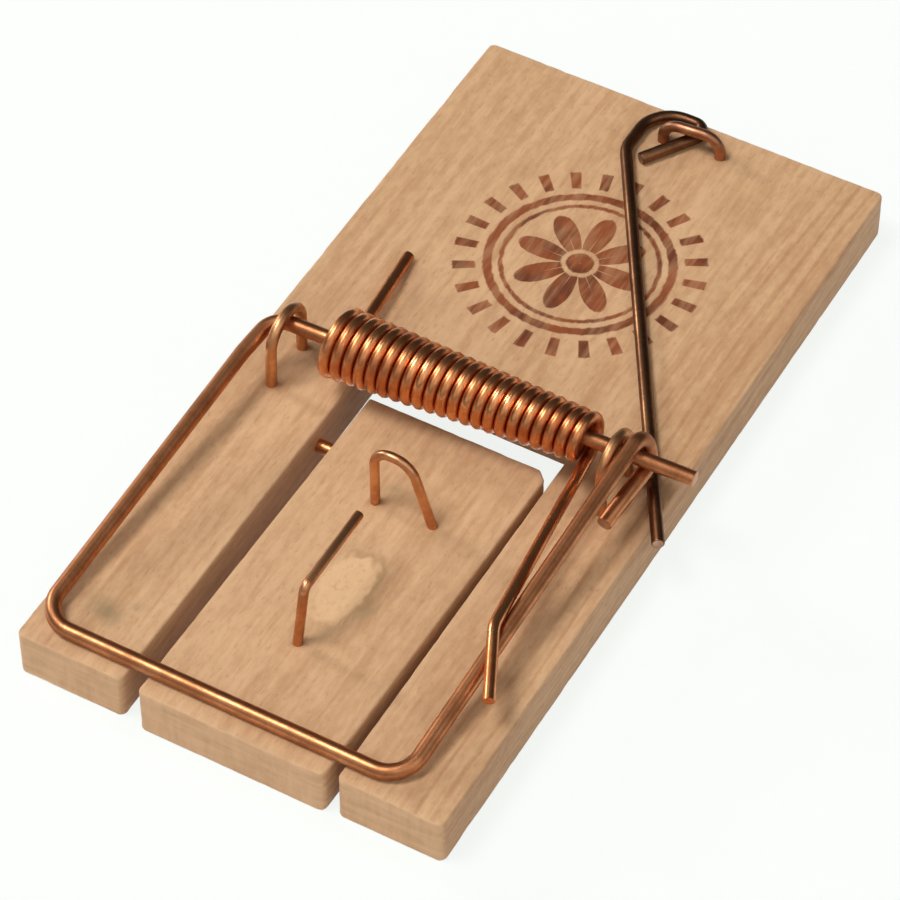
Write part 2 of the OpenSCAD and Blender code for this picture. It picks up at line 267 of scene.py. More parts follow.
def wear_wood(piece, arrises, marks, seed):
    """Rubs the arrises down unevenly, and stores how worn and how marked each place is.

    arrises are pairs of points; marks are (name, test) pairs that give 0 to 1 at a place."""
    mesh = piece.data
    for name in ["worn"] + [name for name, _ in marks]:
        mesh.attributes.new(name, "FLOAT", "POINT")
    worn = mesh.attributes["worn"]
    stored = {name: mesh.attributes[name] for name, _ in marks}
    normals = [vertex.normal.copy() for vertex in mesh.vertices]
    places = [vertex.co.copy() for vertex in mesh.vertices]
    for index, place in enumerate(places):
        nearest = min(distance_to(place, start, end) for start, end in arrises)
        closeness = max(0.0, 1 - nearest / RUB_REACH)
        rub = noise.noise(place * 420 + seed) * 0.5 + noise.noise(place * 1500 + seed) * 0.5
        rubbed_off = closeness ** 2 * (RUB_LEAST + RUB_MORE * max(0.0, rub))
        uneven = PLANING_WAVES * noise.noise(place * 260 + seed)
        mesh.vertices[index].co = place - normals[index] * (rubbed_off + uneven)
        worn.data[index].value = closeness * (0.6 + 0.8 * rub)
        for name, test in marks:
            stored[name].data[index].value = test(place)


base_board = block("beech_board", Vector((board_low.x, SLOT_REAR, board_low.z)), board_high)
saw_through(SLOT_LEFT)
saw_through(SLOT_RIGHT)
pick(base_board, "faces", lambda face: face.normal.y < -0.9
    and not SLOT_LEFT < face.calc_center_median().x < SLOT_RIGHT)
bpy.ops.mesh.extrude_region_move(
    TRANSFORM_OT_translate={"value": (0, board_front - SLOT_REAR, 0)})
pick(base_board, "edges", lambda edge: upright(edge) and edge.calc_face_angle(0) > 0.9
    and (middle(edge).y < board_front + 0.1 * mm or middle(edge).y > board_high.y - 0.1 * mm))
bpy.ops.mesh.bevel(offset=CORNER, segments=CORNER_STEPS, affect="EDGES")
pick(base_board, "edges", lambda edge: edge.calc_face_angle(0) > 0.9)
bpy.ops.mesh.bevel(offset=ARRIS, segments=ARRIS_STEPS, affect="EDGES")
fine_grid(base_board, WOOD_GRID)
bpy.ops.object.mode_set(mode="OBJECT")


def outline_arrises(outline, low_z, high_z):
    """Every arris of a flat piece of wood: its top and bottom outline and its corners."""
    pairs = []
    for index, corner in enumerate(outline):
        after = outline[(index + 1) % len(outline)]
        for z in (low_z, high_z):
            pairs.append((Vector((*corner, z)), Vector((*after, z))))
        pairs.append((Vector((*corner, low_z)), Vector((*corner, high_z))))
    return pairs


def spot(place, centre, half, turn=0.0):
    """How strongly a soft oval stain, given in millimetres and degrees, covers a place."""
    x = place.x / mm - centre[0]
    y = place.y / mm - centre[1]
    along = x * math.cos(math.radians(turn)) + y * math.sin(math.radians(turn))
    across = y * math.cos(math.radians(turn)) - x * math.sin(math.radians(turn))
    reach = (along / half[0]) ** 2 + (across / half[1]) ** 2
    return math.exp(-reach * 1.5)


# Smudges and painted soft shadows: where each lies, its half sizes, its turn in degrees and how strong it
# is
BOARD_STAINS_AND_SHADOWS = [
    ((-18.0, -42.1), (2.5, 1.3), -15, 1.6),
    ((-15.5, -40.2), (1.6, 0.6), 20, 0.7),
    # painted soft shadow of the right arm, in two stretches
    ((22.2, -23.0), (1.1, 12.0), -3, 0.3),
    ((22.6, -33.0), (1.1, 8.0), -6, 0.3),
    # painted soft shadow of the latch staple's right leg
    ((7.8, 45.9), (1.6, 0.9), 30, 0.55),
    ((16.5, -45.0), (1.5, 0.7), 0, 0.4),
]
STAPLE_FEET = [(-19.3, -7.7), (-19.3, -1.6), (18.8, -6.4), (18.8, -0.3), (-0.4, 44.6), (6.3, 45.2)]


def stain_and_shadow_at(place, stains, seed):
    """How strongly a piece's smudges and painted soft shadows cover a place on its top."""
    if place.z < board_top - STAIN_DEPTH:
        return 0.0
    blotch = 0.75 + 0.6 * noise.noise(place * 700 + seed)
    return min(1.0, blotch * sum(
        strength * spot(place, centre, half, turn)
        for centre, half, turn, strength in stains))


def board_dirt_and_shade(place):
    """How brown the board is: darker round the staples' feet, dirt and painted shade in the slot, and a
    few bruises.
    """
    near_foot = max(spot(place, foot, FOOT_DARK_SPOT) for foot in STAPLE_FEET)
    in_slot = 0.0
    # The slot's walls get dirt and painted shade, more in the left gap than in the right.
    if (SLOT_LEFT - SLOT_MARGIN < place.x < SLOT_RIGHT + SLOT_MARGIN
            and place.y < SLOT_REAR + SLOT_MARGIN and place.z < board_top - SLOT_DARKENING_BELOW):
        in_slot = LEFT_GAP_DIRT_AND_SHADE if place.x < 0 else RIGHT_GAP_DIRT_AND_SHADE
    bruise = 0.0
    if place.z > board_top - STAIN_DEPTH:
        bruise = 0.5 * max(0.0, noise.noise(place * 130 + Vector((3, 0, 0))) - 0.32)
    return min(1.0, max(near_foot, in_slot) + bruise)


board_outline = [
    (board_low.x, board_high.y), (board_low.x, board_low.y), (SLOT_LEFT, board_low.y),
    (SLOT_LEFT, SLOT_REAR), (SLOT_RIGHT, SLOT_REAR), (SLOT_RIGHT, board_low.y),
    (board_high.x, board_low.y), (board_high.x, board_high.y)]
wear_wood(base_board, outline_arrises(board_outline, board_low.z, board_high.z),
    [("stain_and_shadow", lambda place: stain_and_shadow_at(place, BOARD_STAINS_AND_SHADOWS, Vector((0, 0, 0)))), ("dirt_and_shade", board_dirt_and_shade)],
    Vector((0, 0, 0)))
finish_wood(base_board)


def new_group(name, inputs, outputs):
    """An empty node group with its input and output nodes."""
    group = bpy.data.node_groups.new(name, "ShaderNodeTree")
    for label, kind, value in inputs:
        socket = group.interface.new_socket(name=label, in_out="INPUT", socket_type="NodeSocket" + kind)
        if value is not None:
            socket.default_value = value
    for label, kind in outputs:
        group.interface.new_socket(name=label, in_out="OUTPUT", socket_type="NodeSocket" + kind)
    return group, group.nodes.new("NodeGroupInput"), group.nodes.new("NodeGroupOutput")


def calc(tree, operation, first, second=0.0, third=0.0, clamp=False):
    """One step of arithmetic in a node tree."""
    return put(tree, "Math", {0: first, 1: second, 2: third},
        operation=operation, use_clamp=clamp).outputs[0]


def stretched_noise(tree, place, stretch, detail=3.0, roughness=0.55):
    """Noise drawn out along the grain. stretch gives its fineness across, along and up."""
    scaled = put(tree, "VectorMath", {0: place, 1: stretch}, operation="MULTIPLY")
    return put(tree, "TexNoise", {"Vector": scaled.outputs[0], "Scale": 1.0,
        "Detail": detail, "Roughness": roughness}).outputs["Fac"]


def blend_colour(tree, share, first, second):
    """Two colours mixed by a share."""
    return put(tree, "MixRGB", {0: share, 1: first, 2: second}).outputs[0]


def between(tree, value, low, high):
    """0 below low and 1 above high, and a smooth rise between."""
    return put(tree, "MapRange", {0: value, 1: low, 2: high},
        interpolation_type="SMOOTHSTEP").outputs[0]


def srgb(red, green, blue):
    """A colour given by its screen values from 0 to 255."""
    return tuple((c / 255 / 12.92 if c < 10.3 else ((c / 255 + 0.055) / 1.055) ** 2.4)
        for c in (red, green, blue)) + (1.0,)


PALE_BEECH = srgb(217, 175, 133)
DARK_BEECH = srgb(190, 146, 105)
STREAK_BROWN = srgb(180, 128, 82)
FLECK_BROWN = srgb(158, 112, 76)
SIDE_LINE_BROWN = srgb(168, 116, 74)
RUBBED_BEECH = srgb(226, 190, 152)
# Grey-green of the smudges and of the painted soft shadows
STAIN_AND_SHADOW_GREEN = srgb(146, 124, 90)
# Brown of the dirt and of the painted shade in the slot
DIRT_AND_SHADE_BROWN = srgb(140, 90, 54)
BOARD_HEART = (6 * mm, 0, -48 * mm)
RINGS_PER_METRE = 900.0
SIDE_LINES_PER_METRE = 3900.0 / (2 * math.pi)
SIDE_LINES_FROM = 12 * mm
SIDE_LINES_FULL = 22 * mm
SIDE_LINE_STRENGTH = 0.75
STREAK_RANGE = (0.56, 0.74)
STREAK_STRENGTH = 0.4
FLECK_RANGE = (0.56, 0.76)
TONE_RANGE = (0.4, 0.82)
END_GRAIN_FACING = (0.5, 0.9)

# Beech: long pale fibres, growth rings round a heart below the board, and short dark flecks
beech_group, group_in, group_out = new_group("beech_grain",
    [("Place", "Vector", None), ("Pale", "Color", PALE_BEECH),
     ("Dark", "Color", DARK_BEECH), ("Heart", "Vector", BOARD_HEART),
     ("Flecks", "Float", 0.45)],
    [("Color", "Color"), ("Roughness", "Float"), ("Height", "Float")])
tree = beech_group
place = group_in.outputs["Place"]
fibres = stretched_noise(tree, place, (1600, 120, 1600), 5.0, 0.6)
drift = stretched_noise(tree, place, (90, 14, 90), 2.0)
from_heart = put(tree, "VectorMath", {0: place, 1: group_in.outputs["Heart"]}, operation="SUBTRACT")
parts = put(tree, "SeparateXYZ", {0: from_heart.outputs[0]})
across = calc(tree, "MULTIPLY", parts.outputs[0], parts.outputs[0])
upward = calc(tree, "MULTIPLY", parts.outputs[2], parts.outputs[2])
distance = calc(tree, "SQRT", calc(tree, "ADD", across, upward))
ring_count = calc(tree, "ADD", calc(tree, "MULTIPLY", distance, RINGS_PER_METRE),
    calc(tree, "MULTIPLY", drift, 5.0))
ring_wave = calc(tree, "SINE", calc(tree, "MULTIPLY", ring_count, 2 * math.pi))
rings = calc(tree, "MULTIPLY_ADD", ring_wave, 0.5, 0.5)
fleck_noise = stretched_noise(tree, place, (3000, 800, 3000), 3.0, 0.6)
flecks = between(tree, fleck_noise, *FLECK_RANGE)
streak_noise = stretched_noise(tree, place, (620, 60, 620), 4.0, 0.65)
streaks = between(tree, streak_noise, *STREAK_RANGE)
mottle = stretched_noise(tree, place, (1100, 520, 1100), 4.0, 0.65)
long_tone = calc(tree, "ADD",
    calc(tree, "MULTIPLY_ADD", mottle, 0.42, calc(tree, "MULTIPLY", fibres, 0.42)),
    calc(tree, "ADD", calc(tree, "MULTIPLY", drift, 0.3), calc(tree, "MULTIPLY", rings, 0.07)))
facing = put(tree, "SeparateXYZ", {0: put(tree, "TexCoord").outputs["Normal"]})
on_end = between(tree, calc(tree, "ABSOLUTE", facing.outputs[1]), *END_GRAIN_FACING)
layers = stretched_noise(tree, place, (170, 60, 1300), 4.0, 0.6)
rays = stretched_noise(tree, place, (1100, 60, 240), 3.0, 0.6)
end_tone = calc(tree, "MULTIPLY_ADD", layers, 0.62, calc(tree, "MULTIPLY_ADD", rays, 0.4, 0.05))
tone = put(tree, "Mix", {0: on_end, 2: long_tone, 3: end_tone}).outputs[0]
base_tone = blend_colour(tree, between(tree, tone, *TONE_RANGE),
    group_in.outputs["Pale"], group_in.outputs["Dark"])
lengthwise = calc(tree, "SUBTRACT", 1.0, on_end)
streaked = blend_colour(tree, calc(tree, "MULTIPLY",
    calc(tree, "MULTIPLY", streaks, STREAK_STRENGTH), lengthwise), base_tone, STREAK_BROWN)
flecked = blend_colour(tree, calc(tree, "MULTIPLY", calc(tree, "MULTIPLY", flecks, lengthwise),
    group_in.outputs["Flecks"]), streaked, FLECK_BROWN)
aside = put(tree, "SeparateXYZ", {0: place}).outputs[0]
side_wave = calc(tree, "SINE", calc(tree, "MULTIPLY_ADD",
    aside, SIDE_LINES_PER_METRE * 2 * math.pi, calc(tree, "MULTIPLY", drift, 22.0)))
side_lines = calc(tree, "MULTIPLY", between(tree, side_wave, 0.3, 1.0),
    between(tree, aside, SIDE_LINES_FROM, SIDE_LINES_FULL))
lined = blend_colour(tree, calc(tree, "MULTIPLY", calc(tree, "MULTIPLY", side_lines, lengthwise),
    calc(tree, "MULTIPLY", mottle, SIDE_LINE_STRENGTH)), flecked, SIDE_LINE_BROWN)
tree.links.new(lined, group_out.inputs["Color"])
tree.links.new(calc(tree, "MULTIPLY_ADD", fibres, 0.2, 0.5), group_out.inputs["Roughness"])
tree.links.new(calc(tree, "MULTIPLY", lengthwise,
    calc(tree, "SUBTRACT", fibres, calc(tree, "MULTIPLY", flecks, 0.6))), group_out.inputs["Height"])

# Wear of the wood and painted shade: rubbed arrises, grey-green smudges and painted soft shadows, and
# brown dirt with painted shade in the slot, all from stored values
wear_and_shade_group, group_in, group_out = new_group("worn_wood_and_painted_shade",
    [("Color", "Color", (1, 1, 1, 1)), ("Place", "Vector", None)], [("Color", "Color")])
tree = wear_and_shade_group
patches = stretched_noise(tree, group_in.outputs["Place"], (900, 500, 900), 3.0)
worn = put(tree, "Attribute", attribute_name="worn").outputs["Fac"]
stain_and_shadow = put(tree, "Attribute", attribute_name="stain_and_shadow").outputs["Fac"]
dirt_and_shade = put(tree, "Attribute", attribute_name="dirt_and_shade").outputs["Fac"]
rubbed = blend_colour(tree, calc(tree, "MULTIPLY", worn, 0.22, clamp=True),
    group_in.outputs["Color"], RUBBED_BEECH)
# Smudges and painted soft shadows, in grey-green
stained_and_shaded = blend_colour(tree, calc(tree, "MULTIPLY", stain_and_shadow,
    calc(tree, "MULTIPLY_ADD", patches, 0.8, 0.3), clamp=True), rubbed, STAIN_AND_SHADOW_GREEN)
# Dirt, and painted shade in the slot, in brown
dirtied_and_shaded = blend_colour(tree, calc(tree, "MULTIPLY", dirt_and_shade,
    calc(tree, "MULTIPLY_ADD", patches, 0.7, 0.5), clamp=True), stained_and_shaded, DIRT_AND_SHADE_BROWN)
tree.links.new(dirtied_and_shaded, group_out.inputs["Color"])


WOOD_BUMP = 0.35
WOOD_BUMP_DEPTH = 0.05 * mm
WOOD_SHEEN = 0.3


def beech_material(name, heart, marking):
    """Beech with its grain, one marking of its own on the colour, and its wear, dirt and painted shade.
    """
    made, tree = new_material(name)
    place = put(tree, "TexCoord").outputs["Object"]
    grain = put(tree, "Group", node_tree=beech_group)
    tree.links.new(place, grain.inputs["Place"])
    grain.inputs["Heart"].default_value = heart
    colour = marking(tree, place, grain.outputs["Color"])
    wear = put(tree, "Group", node_tree=wear_and_shade_group)
    tree.links.new(colour, wear.inputs["Color"])
    tree.links.new(place, wear.inputs["Place"])
    bump = put(tree, "Bump", {"Height": grain.outputs["Height"], "Strength": WOOD_BUMP,
        "Distance": WOOD_BUMP_DEPTH})
    shader = put(tree, "BsdfPrincipled", {"Base Color": wear.outputs[0],
        "Roughness": grain.outputs["Roughness"], "Normal": bump.outputs[0]})
    shader.inputs["Specular IOR Level"].default_value = WOOD_SHEEN
    put(tree, "OutputMaterial", {"Surface": shader.outputs[0]})
    return made


# A plain rosette burnt into the board: petals in a double ring, with short rays round it.
# Its bands are shares of the ring's radius.
MARK_AT = (0.5 * mm, 23.5 * mm)
MARK_RING = 10.0 * mm
MARK_PETALS = 8
MARK_RAYS = 24
MARK_EDGE = 0.012
MARK_HEART = (0.0, 0.15)
PETAL_START = (0.19, 0.22)
PETAL_WAIST = 0.12
PETAL_LENGTH = 0.62
PETAL_ROUNDNESS = 0.7
MARK_RINGS = ((0.83, 0.88), (0.95, 1.05))
MARK_RAY_BAND = (1.13, 1.38)
LIGHT_BURN = srgb(140, 70, 34)
DEEP_BURN = srgb(104, 46, 20)
BURN_LEAST = 0.68
BURN_MORE = 0.3


def burnt_rosette(tree, place, colour):
    """The board's colour with the rosette burnt into its top."""
    parts = put(tree, "SeparateXYZ", {0: place})
    x = calc(tree, "SUBTRACT", parts.outputs[0], MARK_AT[0])
    y = calc(tree, "SUBTRACT", parts.outputs[1], MARK_AT[1])
    radius = calc(tree, "DIVIDE", calc(tree, "SQRT", calc(tree, "ADD",
        calc(tree, "MULTIPLY", x, x), calc(tree, "MULTIPLY", y, y))), MARK_RING)
    angle = calc(tree, "ARCTAN2", y, x)
    ragged = stretched_noise(tree, place, (1500, 700, 1500))
    radius = calc(tree, "ADD", radius, calc(tree, "MULTIPLY_ADD", ragged, 0.05, -0.025))

    def band(low, high):
        rise = between(tree, radius, low - MARK_EDGE, low + MARK_EDGE)
        fall = between(tree, radius, high - MARK_EDGE, high + MARK_EDGE)
        return calc(tree, "SUBTRACT", rise, fall, clamp=True)

    lobe = calc(tree, "ABSOLUTE", calc(tree, "COSINE",
        calc(tree, "MULTIPLY", angle, MARK_PETALS / 2)))
    petal_reach = calc(tree, "MULTIPLY_ADD",
        calc(tree, "POWER", lobe, PETAL_ROUNDNESS), PETAL_LENGTH, PETAL_WAIST)
    petals = calc(tree, "SUBTRACT", 1.0, between(tree, calc(tree, "SUBTRACT", radius, petal_reach),
        -MARK_EDGE, MARK_EDGE), clamp=True)
    veins = between(tree, calc(tree, "SUBTRACT", lobe, calc(tree, "MULTIPLY", radius, 0.02)),
        0.990, 0.997)
    petals = calc(tree, "MULTIPLY", petals, calc(tree, "SUBTRACT", 1.0, veins))
    heart = band(*MARK_HEART)
    petals = calc(tree, "MULTIPLY", petals, between(tree, radius, *PETAL_START))
    ring = calc(tree, "ADD", band(*MARK_RINGS[0]), band(*MARK_RINGS[1]), clamp=True)
    ray_wave = calc(tree, "COSINE", calc(tree, "MULTIPLY", angle, float(MARK_RAYS)))
    rays = calc(tree, "MULTIPLY", between(tree, ray_wave, 0.35, 0.6), band(*MARK_RAY_BAND))
    burnt = calc(tree, "ADD", calc(tree, "ADD", heart, petals), calc(tree, "ADD", ring, rays),
        clamp=True)
    on_top = between(tree, parts.outputs[2], board_top - 0.4 * mm, board_top - 0.3 * mm)
    skips = stretched_noise(tree, place, (1300, 160, 1300), 4.0)
    strength = calc(tree, "MULTIPLY_ADD", between(tree, skips, 0.3, 0.62), BURN_MORE, BURN_LEAST)
    cover = calc(tree, "MULTIPLY", calc(tree, "MULTIPLY", burnt, on_top), strength)
    depth = stretched_noise(tree, place, (260, 200, 260), 2.0)
    ink = blend_colour(tree, between(tree, depth, 0.42, 0.62), LIGHT_BURN, DEEP_BURN)
    return blend_colour(tree, cover, colour, ink)


base_board.data.materials.append(
    beech_material("beech_board_wood", BOARD_HEART, burnt_rosette))
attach(base_board, "board")
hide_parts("base_board")


# ---- Trip pedal
# A loose tongue of the same beech that tilts on a pin in the slot when a mouse takes the bait.
# Its right back corner is chipped, and a pale knot with a darker rim shows beside the spike.
pedal_low, pedal_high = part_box("trip_pedal")
pin_low, pin_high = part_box("pedal_pin")
pin_y = (pin_low.y + pin_high.y) / 2
PEDAL_SLANT = 0.6 * mm
PEDAL_NICK = 1.1 * mm
PEDAL_RELIEF = 0.9 * mm
KNOT_AT = (1.2, -27.8)
KNOT_HALF = (3.1, 4.8)
KNOT_PALE = srgb(232, 192, 146)
KNOT_SPECK = srgb(192, 146, 98)
KNOT_RIM = srgb(166, 128, 84)
KNOT_COVER = 0.62
SPECK_COVER = 0.4
RIM_COVER = 0.5
PEDAL_HEART = (-9 * mm, 0, -60 * mm)

pedal = block("beech_tongue", Vector((pedal_low.x + PEDAL_SLANT, pedal_low.y, pedal_low.z)), pedal_high)
pick(pedal, "verts", lambda vertex: vertex.co.y < pedal_low.y + 1 * mm)
bpy.ops.transform.translate(value=(-PEDAL_SLANT, 0, 0))
bpy.ops.mesh.select_all(action="SELECT")
bpy.ops.mesh.bisect(plane_co=(0, pin_y, 0), plane_no=(0, 1, 0))
pick(pedal, "verts", lambda vertex: vertex.co.y > pin_y + 1 * mm and vertex.co.z < 1 * mm)
bpy.ops.transform.translate(value=(0, 0, PEDAL_RELIEF))
pick(pedal, "edges", lambda edge: upright(edge)
    and middle(edge).x > pedal_high.x - 0.1 * mm and middle(edge).y > pin_y + 1 * mm)
bpy.ops.mesh.bevel(offset=PEDAL_NICK, segments=1, affect="EDGES")
pick(pedal, "edges", lambda edge: upright(edge) and middle(edge).y < pedal_low.y + 1 * mm)
bpy.ops.mesh.bevel(offset=CORNER, segments=CORNER_STEPS, affect="EDGES")
pick(pedal, "edges", lambda edge: edge.calc_face_angle(0) > 0.6)
bpy.ops.mesh.bevel(offset=ARRIS, segments=ARRIS_STEPS, affect="EDGES")
fine_grid(pedal, WOOD_GRID)
bpy.ops.object.mode_set(mode="OBJECT")

# Painted soft shadows of the catch hoop and the bait spike (first three rows), and a faint grey spot
# right of the hoop (last row): where each lies, its half sizes, its turn in degrees and how strong it is
PEDAL_SHADOWS_AND_SPOTS = [
    ((-0.7, -14.0), (1.3, 0.9), 20, 1.0),
    ((4.7, -29.5), (0.9, 1.7), -30, 0.8),
    ((2.2, -33.4), (1.6, 0.8), 30, 0.5),
    ((6.5, -17.5), (1.4, 2.6), -10, 0.25),
]
THIN_FEET = [(-1.8, -16.5), (4.9, -16.5), (0.7, -36.3)]
THIN_FOOT_DARK_SPOT = (0.7, 0.7)
THIN_FOOT_DARKENING = 0.8
SIDE_DIRT_AND_SHADE = 0.04
SIDE_DARKENING_REACH = 0.55 * mm


def pedal_dirt_and_shade(place):
    """How brown the tongue is: a little dirt and painted shade on its sides, and darker round its wires'
    feet.
    """
    side = min(abs(place.x - pedal_high.x), abs(place.x - pedal_low.x - 0.3 * mm))
    # Dirt and painted shade on the tongue's sides, below the top where they stand in the gaps
    on_side = SIDE_DIRT_AND_SHADE if side < SIDE_DARKENING_REACH and place.z < board_top - 0.4 * mm else 0.0
    feet = max(spot(place, foot, THIN_FOOT_DARK_SPOT) for foot in THIN_FEET)
    return min(1.0, max(on_side, THIN_FOOT_DARKENING * feet if place.z > board_top - 1 * mm else 0.0))


pedal_outline = [
    (pedal_low.x, pedal_low.y), (pedal_high.x - PEDAL_SLANT, pedal_low.y),
    (pedal_high.x, pedal_high.y - PEDAL_NICK), (pedal_high.x - PEDAL_NICK, pedal_high.y),
    (pedal_low.x + PEDAL_SLANT, pedal_high.y)]
wear_wood(pedal, outline_arrises(pedal_outline, pedal_low.z, pedal_high.z),
    [("stain_and_shadow", lambda place: stain_and_shadow_at(place, PEDAL_SHADOWS_AND_SPOTS, Vector((9, 0, 0)))), ("dirt_and_shade", pedal_dirt_and_shade)],
    Vector((5, 0, 0)))
finish_wood(pedal)


def pale_knot(tree, place, colour):
    """The tongue's colour with the knot in it, darker along its upper right rim."""
    parts = put(tree, "SeparateXYZ", {0: place})
    x, y = (calc(tree, "DIVIDE",
        calc(tree, "SUBTRACT", parts.outputs[axis], KNOT_AT[axis] * mm), KNOT_HALF[axis] * mm)
        for axis in (0, 1))
    wobble = stretched_noise(tree, place, (420, 260, 420), 2.0)
    radius = calc(tree, "ADD", calc(tree, "SQRT", calc(tree, "ADD",
        calc(tree, "MULTIPLY", x, x), calc(tree, "MULTIPLY", y, y))),
        calc(tree, "MULTIPLY_ADD", wobble, 1.1, -0.55))
    inside = calc(tree, "SUBTRACT", 1.0, between(tree, radius, 0.8, 1.02))
    rim = calc(tree, "MULTIPLY", between(tree, radius, 0.82, 1.0),
        calc(tree, "SUBTRACT", 1.0, between(tree, radius, 1.02, 1.25)))
    upper_right = between(tree, calc(tree, "ADD", x, y), -0.2, 0.9)
    pale = blend_colour(tree, calc(tree, "MULTIPLY", inside, KNOT_COVER), colour, KNOT_PALE)
    specks = between(tree, stretched_noise(tree, place, (2300, 1500, 2300), 3.0), 0.5, 0.72)
    pale = blend_colour(tree, calc(tree, "MULTIPLY", calc(tree, "MULTIPLY", specks, inside), SPECK_COVER),
        pale, KNOT_SPECK)
    return blend_colour(tree, calc(tree, "MULTIPLY", calc(tree, "MULTIPLY", rim, upper_right), RIM_COVER),
        pale, KNOT_RIM)


pedal.data.materials.append(beech_material("beech_tongue_wood", PEDAL_HEART, pale_knot))
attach(pedal, "pedal")
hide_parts("trip_pedal")


# ---- Pedal pin
# A plain cut length of wire, pushed through the left rail, the tongue and the right rail.
# Only the short stretches in the two gaps show.

# Drawn copper: bright metal that tarnishes in soft clouds, with fine freckles
copper_group, group_in, group_out = new_group("drawn_copper",
    [("Place", "Vector", None), ("Bright", "Color", srgb(214, 128, 82)),
     ("Tarnished", "Color", srgb(120, 66, 42)), ("Tarnish", "Float", 0.4),
     ("Gloss", "Float", 0.28)],
    [("Color", "Color"), ("Roughness", "Float"), ("Height", "Float")])
tree = copper_group
place = group_in.outputs["Place"]
clouds = put(tree, "TexNoise", {"Vector": place, "Scale": 260.0, "Detail": 4.0,
    "Roughness": 0.6}).outputs["Fac"]
freckles = put(tree, "TexNoise", {"Vector": place, "Scale": 1900.0, "Detail": 3.0,
    "Roughness": 0.6}).outputs["Fac"]
low_edge = calc(tree, "SUBTRACT", 0.85, group_in.outputs["Tarnish"])
tarnish = between(tree, calc(tree, "MULTIPLY_ADD", freckles, 0.22, clouds),
    calc(tree, "SUBTRACT", low_edge, 0.2), calc(tree, "ADD", low_edge, 0.3))
copper_colour = blend_colour(tree, tarnish, group_in.outputs["Bright"], group_in.outputs["Tarnished"])
tree.links.new(copper_colour, group_out.inputs["Color"])
tree.links.new(calc(tree, "ADD", group_in.outputs["Gloss"],
    calc(tree, "MULTIPLY_ADD", tarnish, 0.10, calc(tree, "MULTIPLY", freckles, 0.06))),
    group_out.inputs["Roughness"])
tree.links.new(calc(tree, "ADD", freckles, calc(tree, "MULTIPLY", clouds, 0.6)),
    group_out.inputs["Height"])


WIRE_BUMP = 0.12
WIRE_BUMP_DEPTH = 0.03 * mm


def copper_material(name, bright, tarnished, tarnish, gloss):
    """Copper-plated steel wire, from bright to brown."""
    made, tree = new_material(name)
    place = put(tree, "TexCoord").outputs["Object"]
    copper = put(tree, "Group", node_tree=copper_group)
    tree.links.new(place, copper.inputs["Place"])
    copper.inputs["Bright"].default_value = bright
    copper.inputs["Tarnished"].default_value = tarnished
    copper.inputs["Tarnish"].default_value = tarnish
    copper.inputs["Gloss"].default_value = gloss
    bump = put(tree, "Bump", {"Height": copper.outputs["Height"], "Strength": WIRE_BUMP,
        "Distance": WIRE_BUMP_DEPTH})
    shader = put(tree, "BsdfPrincipled", {"Base Color": copper.outputs["Color"],
        "Roughness": copper.outputs["Roughness"], "Normal": bump.outputs[0], "Metallic": 1.0})
    put(tree, "OutputMaterial", {"Surface": shader.outputs[0]})
    return made


pin_copper = copper_material("pin_copper",
    srgb(224, 158, 106), srgb(168, 108, 68), tarnish=0.3, gloss=0.28)
pedal_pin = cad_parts["pedal_pin"]
pedal_pin.data.materials.clear()
pedal_pin.data.materials.append(pin_copper)


# ---- Striker
# One length of hard wire: axle, left arm, front bar, right arm, a hook round the axle and a tail.
# It is bent cold, copper plated, and turns under the two staples.
WIRE_SIDES = 20
WIRE_END_BEVEL = 0.09
BEND_STEP_DEGREES = 7
cut_steel = copper_material("cut_steel",
    srgb(214, 176, 150), srgb(168, 130, 106), tarnish=0.3, gloss=0.48)


def coat_wire(piece, coat):
    """Gives a wire its plating, and its cut ends bare rough steel."""
    piece.data.materials.append(coat)
    piece.data.materials.append(cut_steel)
    for face in piece.data.polygons:
        face.material_index = 1 if len(face.vertices) > 4 else 0


